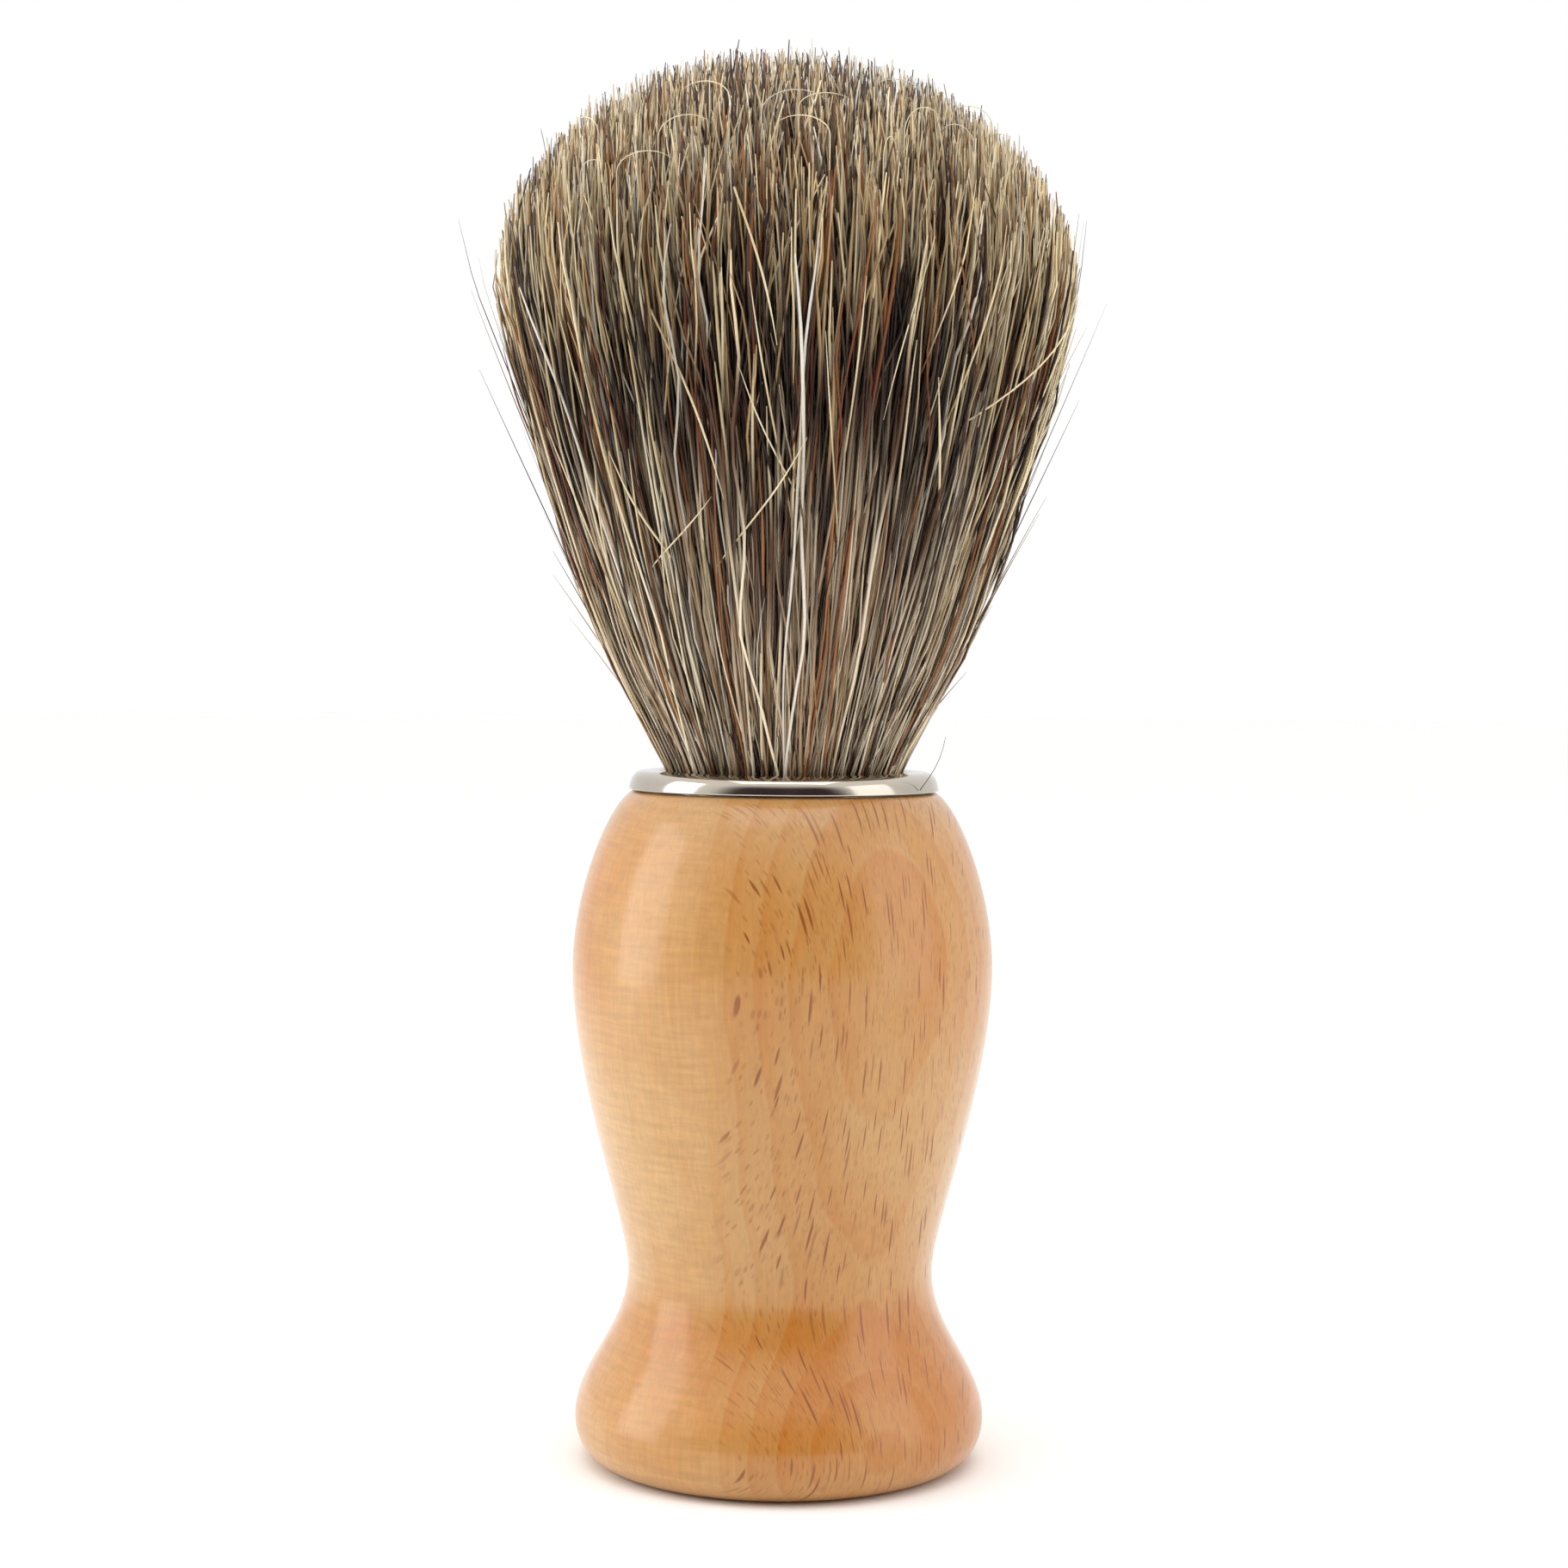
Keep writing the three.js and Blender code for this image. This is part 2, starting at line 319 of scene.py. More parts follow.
def beechMaterial():
    material, tree, shader = newMaterial("lacquered_beech")
    place = addNode(tree, "ShaderNodeTexCoord")
    inMm = addNode(
        tree, "ShaderNodeVectorMath", {0: place.outputs["Object"], "Scale": 1 / mm}, operation="SCALE"
    ).outputs[0]
    drift = addNode(
        tree, "ShaderNodeTexNoise", {"Vector": inMm, "Scale": beech["driftScale"], "Detail": 2.0}
    ).outputs["Color"]
    _, ringOut, _ = fromPith(tree, shiftBy(tree, inMm, drift, beech["ringDrift"]))
    rayPlace, _, wayOut = fromPith(tree, shiftBy(tree, inMm, drift, beech["rayDrift"]))

    # where the surface runs along the rays it shows their faces, as pale ripples across the grain;
    # elsewhere it shows their ends, as flecks
    woodParts = addNode(tree, "ShaderNodeSeparateXYZ", {0: inMm})
    woodFlat = addNode(tree, "ShaderNodeCombineXYZ", {0: woodParts.outputs["X"], 1: woodParts.outputs["Y"]})
    outward = addNode(tree, "ShaderNodeVectorMath", {0: woodFlat.outputs[0]}, operation="NORMALIZE")
    square = addNode(
        tree, "ShaderNodeVectorMath", {0: outward.outputs[0], 1: wayOut}, operation="DOT_PRODUCT"
    )
    pithFrom, pithTo = beech["facesPith"]
    nearSide = addNode(
        tree, "ShaderNodeMapRange", {0: square.outputs["Value"], 1: pithFrom, 2: pithTo},
        interpolation_type="SMOOTHSTEP",
    )
    awayFrom, awayTo = beech["facesAway"]
    farSide = addNode(
        tree, "ShaderNodeMapRange", {0: square.outputs["Value"], 1: awayFrom, 2: awayTo},
        interpolation_type="SMOOTHSTEP",
    )
    endsSeen = addNode(
        tree, "ShaderNodeMath", {0: nearSide.outputs[0], 1: farSide.outputs[0]}, operation="ADD"
    ).outputs[0]

    # growth rings: a slow rise in tone and a soft step where each year ends
    years = addNode(tree, "ShaderNodeMath", {0: ringOut, 1: beech["ringSpacing"]}, operation="DIVIDE")
    year = addNode(tree, "ShaderNodeMath", {0: years.outputs[0]}, operation="FRACT")
    ring = addNode(tree, "ShaderNodeValToRGB", {0: year.outputs[0]}, stops=beech["ringTones"])

    # broad patches, and a painted sheen by height: a rustier foot and shoulder where the wood faces up, a
    # paler waist where it faces down to the white floor
    patchPlace = addNode(
        tree, "ShaderNodeVectorMath", {0: inMm, 1: beech["patchScale"]}, operation="MULTIPLY"
    )
    patches = addNode(
        tree, "ShaderNodeTexNoise",
        {"Vector": patchPlace.outputs[0], "Scale": 1.0, "Detail": 3.0, "Roughness": 0.55}
    )
    upHandle = addNode(
        tree, "ShaderNodeMath", {0: woodParts.outputs["Z"], 1: handleTop}, operation="DIVIDE"
    )
    # painted sheen: these bands by height are rusty where the wood faces up and pale where it faces down
    zone = addNode(tree, "ShaderNodeValToRGB", {0: upHandle.outputs[0]}, stops=beech["paintedSheenBands"])
    zone.color_ramp.interpolation = "EASE"
    mixed = addNode(
        tree, "ShaderNodeMix", {0: beech["paintedSheenShare"], 2: patches.outputs["Fac"], 3: zone.outputs[0]}
    )
    broad = addNode(
        tree, "ShaderNodeMath", {0: endsSeen, 1: 0.06, 2: mixed.outputs[0]}, operation="MULTIPLY_ADD"
    )
    shallow, deep = beech["ringDepth"]
    ringDepth = addNode(tree, "ShaderNodeMapRange", {0: endsSeen, 3: shallow, 4: deep})
    tone = addNode(
        tree, "ShaderNodeMix", {0: ringDepth.outputs[0], 2: broad.outputs[0], 3: ring.outputs[0]}
    )
    colours = [beech["pale"], beech["flesh"], beech["rusty"]]
    flesh = addNode(
        tree, "ShaderNodeValToRGB", {0: tone.outputs[0]}, stops=list(zip(beech["toneStops"], colours))
    )

    # fibres: fine streaks along the grain
    fibreWide, fibreLong = beech["fibre"]
    fibrePlace = addNode(
        tree, "ShaderNodeVectorMath", {0: rayPlace, 1: (1 / fibreWide, 1 / fibreLong, 1 / fibreWide)},
        operation="MULTIPLY"
    )
    fibres = addNode(
        tree, "ShaderNodeTexNoise",
        {"Vector": fibrePlace.outputs[0], "Scale": 0.5, "Detail": 3.0, "Roughness": 0.7},
    )
    darkFibre, lightFibre = beech["fibreTone"]
    fibreTone = addNode(
        tree, "ShaderNodeMapRange", {0: fibres.outputs["Fac"], 1: 0.3, 2: 0.7, 3: darkFibre, 4: lightFibre}
    )
    ripplePlace = addNode(
        tree, "ShaderNodeVectorMath", {0: rayPlace, 1: beech["rippleScale"]}, operation="MULTIPLY"
    )
    ripples = addNode(
        tree, "ShaderNodeTexNoise", {"Vector": ripplePlace.outputs[0], "Scale": 1.0, "Detail": 3.0}
    )
    darkRipple, lightRipple = beech["rippleTone"]
    rippleTone = addNode(
        tree, "ShaderNodeMapRange",
        {0: ripples.outputs["Fac"], 1: 0.35, 2: 0.7, 3: darkRipple, 4: lightRipple}
    )
    rippleHere = addNode(tree, "ShaderNodeMix", {0: endsSeen, 2: rippleTone.outputs[0], 3: 1.0})
    texture = addNode(
        tree, "ShaderNodeMath", {0: fibreTone.outputs[0], 1: rippleHere.outputs[0]}, operation="MULTIPLY"
    )
    streaked = addNode(
        tree, "ShaderNodeVectorMath", {0: flesh.outputs[0], "Scale": texture.outputs[0]},
        operation="SCALE",
    )

    # ray flecks, and pores much smaller and fainter
    slanting = addNode(
        tree, "ShaderNodeMapRange", {0: square.outputs["Value"], 1: -0.1, 2: -0.75, 3: 2.3, 4: 1.0}
    )
    fleck, fleckChance = grainMarks(
        tree, rayPlace, beech["fleckCell"], *beech["fleckEdge"], slanting.outputs[0]
    )
    faint, full = beech["fleckDepth"]
    fleckDepth = addNode(
        tree, "ShaderNodeMapRange", {0: fleckChance.outputs[0], 1: 0.3, 2: 0.75, 3: faint, 4: full}
    )
    fleckFull = addNode(tree, "ShaderNodeMath", {0: fleck, 1: fleckDepth.outputs[0]}, operation="MULTIPLY")
    fleckShown = addNode(
        tree, "ShaderNodeMath", {0: fleckFull.outputs[0], 1: endsSeen}, operation="MULTIPLY"
    )
    pore, poreChance = grainMarks(tree, rayPlace, beech["poreCell"], *beech["poreEdge"])
    poreDepth = addNode(
        tree, "ShaderNodeMapRange",
        {0: poreChance.outputs[0], 1: 0.35, 2: 1.0, 3: 0.0, 4: beech["poreDepth"]}
    )
    poreFull = addNode(tree, "ShaderNodeMath", {0: pore, 1: poreDepth.outputs[0]}, operation="MULTIPLY")
    poreHere = addNode(tree, "ShaderNodeMapRange", {0: endsSeen, 1: 0.5, 3: 0.15, 4: 1.0})
    poreShown = addNode(
        tree, "ShaderNodeMath", {0: poreFull.outputs[0], 1: poreHere.outputs[0]}, operation="MULTIPLY"
    )
    marked = addNode(
        tree, "ShaderNodeMix",
        {0: poreShown.outputs[0], 6: streaked.outputs[0], 7: srgb(beech["fleck"])}, data_type="RGBA",
    )
    wood = addNode(
        tree, "ShaderNodeMix",
        {0: fleckShown.outputs[0], 6: marked.outputs[2], 7: srgb(beech["fleck"])}, data_type="RGBA",
    )
    tree.links.new(wood.outputs[2], shader.inputs["Base Color"])
    bump = addNode(
        tree, "ShaderNodeBump", {"Height": fibres.outputs["Fac"], "Strength": 0.06, "Distance": 0.0001}
    )
    tree.links.new(bump.outputs[0], shader.inputs["Normal"])
    shader.inputs["Roughness"].default_value = beech["roughness"]
    shader.inputs["Specular IOR Level"].default_value = beech["specular"]
    shader.inputs["Coat Weight"].default_value = beech["coat"]
    shader.inputs["Coat Roughness"].default_value = beech["coatRoughness"]
    return material


# Bright nickel over turned brass: a warm grey mirror, with very fine turning lines that stretch highlights.
nickel = {"colour": "#b3aa9d", "bright": "#c4bcaf", "lineSpacing": 0.05, "roughness": (0.08, 0.17)}


def nickelMaterial():
    material, tree, shader = newMaterial("nickel_plate")
    place = addNode(tree, "ShaderNodeTexCoord")
    inMm = addNode(
        tree, "ShaderNodeVectorMath", {0: place.outputs["Object"], "Scale": 1 / mm}, operation="SCALE"
    )
    parts = addNode(tree, "ShaderNodeSeparateXYZ", {0: inMm.outputs[0]})
    flat = addNode(tree, "ShaderNodeCombineXYZ", {0: parts.outputs["X"], 1: parts.outputs["Y"]})
    out = addNode(tree, "ShaderNodeVectorMath", {0: flat.outputs[0]}, operation="LENGTH")
    # drawn a little coarser than real polishing lines so that they show
    linePlace = addNode(
        tree, "ShaderNodeCombineXYZ", {0: out.outputs["Value"], 1: 0.0, 2: parts.outputs["Z"]}
    )
    lines = addNode(
        tree, "ShaderNodeTexNoise",
        {"Vector": linePlace.outputs[0], "Scale": 0.5 / nickel["lineSpacing"], "Detail": 2.0},
    )
    smudge = addNode(tree, "ShaderNodeTexNoise", {"Vector": inMm.outputs[0], "Scale": 0.4, "Detail": 3.0})
    both = addNode(
        tree, "ShaderNodeMath", {0: lines.outputs["Fac"], 1: smudge.outputs["Fac"]}, operation="MULTIPLY"
    )
    low, high = nickel["roughness"]
    rough = addNode(tree, "ShaderNodeMapRange", {0: both.outputs[0], 1: 0.15, 2: 0.4, 3: low, 4: high})
    tree.links.new(rough.outputs[0], shader.inputs["Roughness"])
    tint = addNode(
        tree, "ShaderNodeMix",
        {0: smudge.outputs["Fac"], 6: srgb(nickel["colour"]), 7: srgb(nickel["bright"])}, data_type="RGBA",
    )
    tree.links.new(tint.outputs[2], shader.inputs["Base Color"])
    shader.inputs["Metallic"].default_value = 1.0
    return material


# Natural bristle, washed and cut: each hair is grey-cream at its foot, dark brown in its upper middle
# and blond at its tip, with whole blond, white, chestnut and black hairs mixed in; a silky, waxy shine.
bristle = {
    "tipLength": (7.5, 14.5),  # mm from the tip where blond turns to the dark band
    "bandLength": (17.0, 27.5),  # mm from the tip where the dark band turns to the foot colour
    "bandShift": 7.0,
    "shades": (0.34, 1.62),  # the darkest and the lightest hair against its kind's colour
    "lockShare": 0.5,  # how far a lock's own shade counts against that of a single hair
    "roughness": 0.4,
    "specular": 0.32,
    # each kind of hair starts at its share of all hairs; its colours at foot, band and tip
    "kinds": [
        (0.0, "#cab89c", "#3a2517", "#c8b48c"),
        (0.16, "#977f64", "#22140d", "#957a56"),
        (0.3, "#e0d1b6", "#54341f", "#dccba6"),
        (0.43, "#503c2e", "#1a0f0a", "#44332a"),
        (0.55, "#ac916a", "#5a2e1a", "#b09266"),
        (0.64, "#e2d4b8", "#c0ad84", "#e0d0ab"),
        (0.835, "#d8d2c6", "#c2bbab", "#d9d3c7"),
        (0.87, "#98653f", "#6a3a23", "#88542f"),
        (0.93, "#2b2019", "#150f0c", "#241912"),
    ],
}


def bristleMaterial():
    material, tree, shader = newMaterial("bristle")
    hair = addNode(tree, "ShaderNodeAttribute", attribute_name="hairTone")
    fromTip = addNode(tree, "ShaderNodeAttribute", attribute_name="fromTip")
    chance = addNode(tree, "ShaderNodeTexWhiteNoise", {"W": hair.outputs["Fac"]}, noise_dimensions="1D")
    chances = addNode(tree, "ShaderNodeSeparateColor", {0: chance.outputs["Color"]})
    shifted = addNode(
        tree, "ShaderNodeMath",
        {0: chances.outputs[0], 1: bristle["bandShift"], 2: fromTip.outputs["Fac"]},
        operation="MULTIPLY_ADD",
    )
    ramps = {}
    for number, zone in enumerate(("foot", "band", "tip"), start=1):
        stops = [(kind[0], kind[number]) for kind in bristle["kinds"]]
        ramps[zone] = addNode(tree, "ShaderNodeValToRGB", {0: hair.outputs["Fac"]}, stops=stops)
        ramps[zone].color_ramp.interpolation = "CONSTANT"
    tipStart, tipEnd = bristle["tipLength"]
    bandStart, bandEnd = bristle["bandLength"]
    toBand = addNode(
        tree, "ShaderNodeMapRange", {0: shifted.outputs[0], 1: tipStart, 2: tipEnd},
        interpolation_type="SMOOTHSTEP",
    )
    toFoot = addNode(
        tree, "ShaderNodeMapRange", {0: shifted.outputs[0], 1: bandStart, 2: bandEnd},
        interpolation_type="SMOOTHSTEP",
    )
    upper = addNode(
        tree, "ShaderNodeMix",
        {0: toBand.outputs[0], 6: ramps["tip"].outputs[0], 7: ramps["band"].outputs[0]}, data_type="RGBA"
    )
    whole = addNode(
        tree, "ShaderNodeMix", {0: toFoot.outputs[0], 6: upper.outputs[2], 7: ramps["foot"].outputs[0]},
        data_type="RGBA"
    )
    lock = addNode(tree, "ShaderNodeAttribute", attribute_name="lockShade")
    twoShades = addNode(
        tree, "ShaderNodeMath", {0: lock.outputs["Fac"], 1: bristle["lockShare"], 2: chances.outputs[1]},
        operation="MULTIPLY_ADD",
    )
    darkest, lightest = bristle["shades"]
    lightness = addNode(
        tree, "ShaderNodeMapRange",
        {0: twoShades.outputs[0], 2: 1 + bristle["lockShare"], 3: darkest, 4: lightest},
    )
    shaded = addNode(
        tree, "ShaderNodeVectorMath", {0: whole.outputs[2], "Scale": lightness.outputs[0]},
        operation="SCALE",
    )
    tree.links.new(shaded.outputs[0], shader.inputs["Base Color"])
    shader.inputs["Roughness"].default_value = bristle["roughness"]
    shader.inputs["Specular IOR Level"].default_value = bristle["specular"]
    return material


# Hair packed hard in the collar: the same bristle seen as a bundle, fine streaks up and down.
def packedHairMaterial():
    material, tree, shader = newMaterial("packed_bristle")
    place = addNode(tree, "ShaderNodeTexCoord")
    inMm = addNode(
        tree, "ShaderNodeVectorMath", {0: place.outputs["Object"], 1: (6000, 6000, 180)},
        operation="MULTIPLY",
    )
    streaks = addNode(tree, "ShaderNodeTexNoise", {"Vector": inMm.outputs[0], "Scale": 1.0, "Detail": 3.0})
    tint = addNode(
        tree, "ShaderNodeValToRGB", {0: streaks.outputs["Fac"]},
        stops=[(0.35, "#3a2c20"), (0.5, "#7b6a54"), (0.64, "#c2b59c")]
    )
    tree.links.new(tint.outputs[0], shader.inputs["Base Color"])
    shader.inputs["Roughness"].default_value = 0.55
    return material


# Epoxy cast round the hair roots: amber, glassy, clouded by small bubbles.
def resinMaterial():
    material, tree, shader = newMaterial("cast_resin")
    place = addNode(tree, "ShaderNodeTexCoord")
    clouds = addNode(
        tree, "ShaderNodeTexNoise", {"Vector": place.outputs["Object"], "Scale": 900.0, "Detail": 4.0}
    )
    tint = addNode(
        tree, "ShaderNodeValToRGB", {0: clouds.outputs["Fac"]},
        stops=[(0.35, "#b98d47"), (0.65, "#d9bd83")],
    )
    tree.links.new(tint.outputs[0], shader.inputs["Base Color"])
    shader.inputs["Roughness"].default_value = 0.25
    shader.inputs["Coat Weight"].default_value = 0.4
    return material


# White wood glue, cured in the socket: bone coloured and dull.
def glueMaterial():
    material, tree, shader = newMaterial("cured_adhesive")
    place = addNode(tree, "ShaderNodeTexCoord")
    lumps = addNode(
        tree, "ShaderNodeTexNoise", {"Vector": place.outputs["Object"], "Scale": 500.0, "Detail": 2.0}
    )
    tint = addNode(
        tree, "ShaderNodeValToRGB", {0: lumps.outputs["Fac"]}, stops=[(0.3, "#d3c6a3"), (0.7, "#e6dcc2")]
    )
    tree.links.new(tint.outputs[0], shader.inputs["Base Color"])
    shader.inputs["Roughness"].default_value = 0.6
    return material


# Waxed cotton thread, laid in close turns: off-white, with the slant of its twist.
def threadMaterial():
    material, tree, shader = newMaterial("binding_thread")
    place = addNode(tree, "ShaderNodeTexCoord")
    slant = addNode(tree, "ShaderNodeMapping", {"Vector": place.outputs["Object"], "Rotation": (0, 0.6, 0)})
    twist = addNode(
        tree, "ShaderNodeTexWave", {"Vector": slant.outputs[0], "Scale": 700.0, "Distortion": 1.0}
    )
    tint = addNode(
        tree, "ShaderNodeValToRGB", {0: twist.outputs["Fac"]}, stops=[(0.2, "#b9ad93"), (0.8, "#e9e2d1")]
    )
    tree.links.new(tint.outputs[0], shader.inputs["Base Color"])
    shader.inputs["Roughness"].default_value = 0.8
    return material


materials = {
    "beech": beechMaterial(),
    "nickel": nickelMaterial(),
    "bristle": bristleMaterial(),
    "packedHair": packedHairMaterial(),
    "resin": resinMaterial(),
    "glue": glueMaterial(),
    "thread": threadMaterial(),
}

innerNodes = {
    "hair_roots": "packedHair", "knot_plug": "resin", "socket_adhesive": "glue", "root_binding": "thread"
}
for nodeName, look in innerNodes.items():
    for slot in frame["nodes"][nodeName].material_slots:
        slot.material = materials[look]
print("materials are made")


# spins an outline of (radius, height) points in mm about the axis
def turnedPiece(name, outline, look, closed=False):
    mesh = bmesh.new()
    points = [mesh.verts.new((radius * mm, 0, height * mm)) for radius, height in outline]
    ends = points[1:] + points[:1] if closed else points[1:]
    edges = [mesh.edges.new(pair) for pair in zip(points, ends)]
    bmesh.ops.spin(
        mesh, geom=points + edges, cent=(0, 0, 0), axis=(0, 0, 1), angle=2 * math.pi, steps=160,
        use_merge=True
    )
    bmesh.ops.remove_doubles(mesh, verts=mesh.verts, dist=1e-7)
    bmesh.ops.recalc_face_normals(mesh, faces=mesh.faces)
    data = bpy.data.meshes.new(name)
    mesh.to_mesh(data)
    mesh.free()
    data.shade_smooth()
    data.set_sharp_from_angle(angle=math.radians(50))
    data.materials.append(look)
    piece = bpy.data.objects.new(name, data)
    bpy.context.collection.objects.link(piece)
    return piece


# the points of one smooth curve in the outline plane, without its first point
def curvePoints(start, startHandle, endHandle, end, steps):
    corners = [Vector((x, y, 0)) for x, y in (start, startHandle, endHandle, end)]
    return [(point.x, point.y) for point in interpolate_bezier(*corners, steps + 1)[1:]]


handle = {
    "foot": 13.0,
    "footRun": 1.6,
    "bulb": (16.05, 3.45),
    "bulbRuns": (2.25, 3.75),  # below and above
    "waist": (11.97, 14.9),
    "waistRuns": (4.8, 3.8),
    "belly": (16.45, 38.8),
    "bellyRuns": (9.2, 5.5),
    "shoulder": 11.8,
    "shoulderRun": (2.0, 1.0),
    "socket": (10.5, 16.0),  # radius and depth
    "edgeRound": 0.25,
}


def handleOutline():
    bulbX, bulbZ = handle["bulb"]
    waistX, waistZ = handle["waist"]
    bellyX, bellyZ = handle["belly"]
    shoulderX = handle["shoulder"]
    socketX, socketDepth = handle["socket"]
    outX, downZ = handle["shoulderRun"]
    edge = handle["edgeRound"]
    foot = handle["foot"]
    outline = [(0, 0), (foot * 0.6, 0), (foot - 0.3, 0), (foot, 0)]  # flat underneath
    outline += curvePoints(
        (foot, 0), (foot + handle["footRun"], 0),
        (bulbX, bulbZ - handle["bulbRuns"][0]), (bulbX, bulbZ), 14,
    )
    outline += curvePoints(
        (bulbX, bulbZ), (bulbX, bulbZ + handle["bulbRuns"][1]),
        (waistX, waistZ - handle["waistRuns"][0]), (waistX, waistZ), 24,
    )
    outline += curvePoints(
        (waistX, waistZ), (waistX, waistZ + handle["waistRuns"][1]),
        (bellyX, bellyZ - handle["bellyRuns"][0]), (bellyX, bellyZ), 36,
    )
    outline += curvePoints(
        (bellyX, bellyZ), (bellyX, bellyZ + handle["bellyRuns"][1]),
        (shoulderX + outX, handleTop - downZ), (shoulderX, handleTop), 28,
    )
    outline += [
        (socketX + edge, handleTop),
        (socketX, handleTop - edge),
        (socketX, handleTop - socketDepth),
        (0, handleTop - socketDepth),
    ]
    return outline


collar = {
    "bore": 9.6,
    "outer": 12.1,
    "crest": 10.35,
    "crestRun": 1.0,
    "lipRound": 0.1,
    "lean": 0.16,
    "shoulderUp": 1.4,
    "roll": 0.6,
    "rollRun": (0.25, 0.2),  # how square the rolled edge turns: inwards and down
    "wall": 0.6,
    "seat": 52.62,  # the ring sits down on the wood
}


def collarOutline():
    bore, outer, crest = collar["bore"], collar["outer"], collar["crest"]
    seat, edge = collar["seat"], collar["lipRound"]
    skirt = bore + collar["wall"]
    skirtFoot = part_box("collar")[0][2] / mm
    outline = [(bore, skirtFoot), (skirt, skirtFoot), (skirt, seat), (outer - edge, seat)]
    outline += curvePoints((outer - edge, seat), (outer, seat), (outer, seat), (outer, seat + edge), 4)
    outline += curvePoints(
        (outer, seat + edge), (outer - collar["lean"], seat + collar["shoulderUp"]),
        (crest + collar["crestRun"], collarTop), (crest, collarTop), 26,
    )
    inwards, down = collar["rollRun"]
    outline += curvePoints(
        (crest, collarTop), (bore + inwards, collarTop),
        (bore, collarTop - down), (bore, collarTop - collar["roll"]), 10,
    )
    return outline


handlePiece = turnedPiece("handle_turning", handleOutline(), materials["beech"])
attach(handlePiece, "grip")
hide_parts("handle")

collarPiece = turnedPiece("collar_ring", collarOutline(), materials["nickel"], closed=True)
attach(collarPiece, "grip")
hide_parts("collar")
print("handle and collar are turned")


knot = {
    "hairs": 8600,
    "coreShare": 0.43,  # the inner part of the knot's radius that belongs to the central lock
    "cupRadius": 12.9,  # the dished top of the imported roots, about the bend point
    "packedRadius": 8.9,
    "mouthRadius": 9.25,
    "flare": (13.2, 61.7),
    "flareTurn": (17.2, 70.6),
    "bloom": (22.8, 91.5),
    "bloomRuns": ((1.8, 8.0), 10.0),  # inward and down below it, straight up above it
    "crownRun": 13.0,
    "crownTilt": 0.025,  # the dome is a little higher on the left
    # every hair changes from its foot length to its bloom length close to the height of the bend
    "split": (57.8, 60.2),
    "footFlex": (54.1, 64.0),  # heights between which a front-to-back bend of the feet would run
    "bloomFlex": (57.0, 69.0),  # heights between which a side-to-side bend of the blooms would run
    "overlap": 1.3,  # each foot runs on a little thinner inside its bloom, so that no gap would open if the two bent apart
    "overlapThin": 0.75,
    "crowding": 0.9,  # below 1 the hairs stand a little closer together towards the rim
    "shorter": 1.2,  # mm below the dome at which a hair ends on average
    "uneven": (0.1, 0.35),  # mm more, and how widely that varies
    "veryShort": (0.16, 13),  # the share of the rim's hairs that are much shorter, and by how much
    "unruly": (0.2, 2.5),  # the share of hairs that wander more, and how many times as far
    "splay": 2.0,  # mm that unruly hairs at the rim stand out at most
    "rim": 0.8,  # where the rim starts, as a part of the knot's radius
    "rimOutwards": (-0.4, 0.6),
    "outwards": 1.3,
    "rootShift": 1.0,
    "rootLift": 0.22,
    "drift": 4.0,  # degrees about the axis
    "sideways": 2.2,
    "slant": 0.8,
    "waves": 4,
    "waveSize": 0.26,
    "waveLength": (8, 24),  # the shortest, and how much longer it may be
    "blond": (0.64, 0.835),  # where the blond kind starts and ends among the tones
    "front": 0.88,  # the cosine of how far round the front reaches
    "frontTones": (0.14, 0.6),
    "darkKind": (0.43, 0.55),
    "frontBlondLeft": 0.1,  # the share of the front's blond hairs that stay blond
    "shadedMiddle": (0.6, 0.25),  # painted shade: how far out the darker middle reaches, and the share of its hairs made dark
    "settle": 10,  # mm above the collar over which hairs cross over each other
    "gather": (0.15, 0.4),  # how far hairs lean to their lock's leader, at the foot and more at the tip
    "thickness": 0.205,
    "thicknessRange": (0.65, 0.7),  # the thinnest hair against that, and how much more others have
    "footThin": 0.62,
    "thickUntil": 16,  # mm from the tip; below that a hair thins towards its foot
    "thinOver": 30.0,
    "taperLength": 5.5,
    "tipThin": 0.34,
    "footPoints": 6,
    "bloomPoints": 14,
    "clumps": 520,
}
dice = np.random.default_rng(11)


# how wide the whole knot is at a height, and how high its domed top is at a radius
def knotShape():
    bloomX, bloomZ = knot["bloom"]
    (inBelow, below), above = knot["bloomRuns"]
    side = [(knot["packedRadius"], bendHeight - knot["cupRadius"]), (knot["packedRadius"], collarTop - 3)]
    side += [(knot["mouthRadius"], collarTop), knot["flare"]]
    side += curvePoints(
        knot["flare"], knot["flareTurn"], (bloomX - inBelow, bloomZ - below), (bloomX, bloomZ), 24
    )
    side += [(bloomX + 0.3, bloomZ + 5), (bloomX + 0.4, crownHeight)]
    dome = [(bloomX + 5, bloomZ - 4), (bloomX, bloomZ)]
    dome += curvePoints(
        (bloomX, bloomZ), (bloomX, bloomZ + above), (knot["crownRun"], crownHeight), (0, crownHeight), 24
    )
    side = np.array(side)
    dome = np.array(dome)[::-1]
    return side, dome


sideLine, domeLine = knotShape()


def knotRadius(heights):
    return np.interp(heights, sideLine[:, 1], sideLine[:, 0])


def domeHeight(radii):
    return np.interp(radii, domeLine[:, 0], domeLine[:, 1])


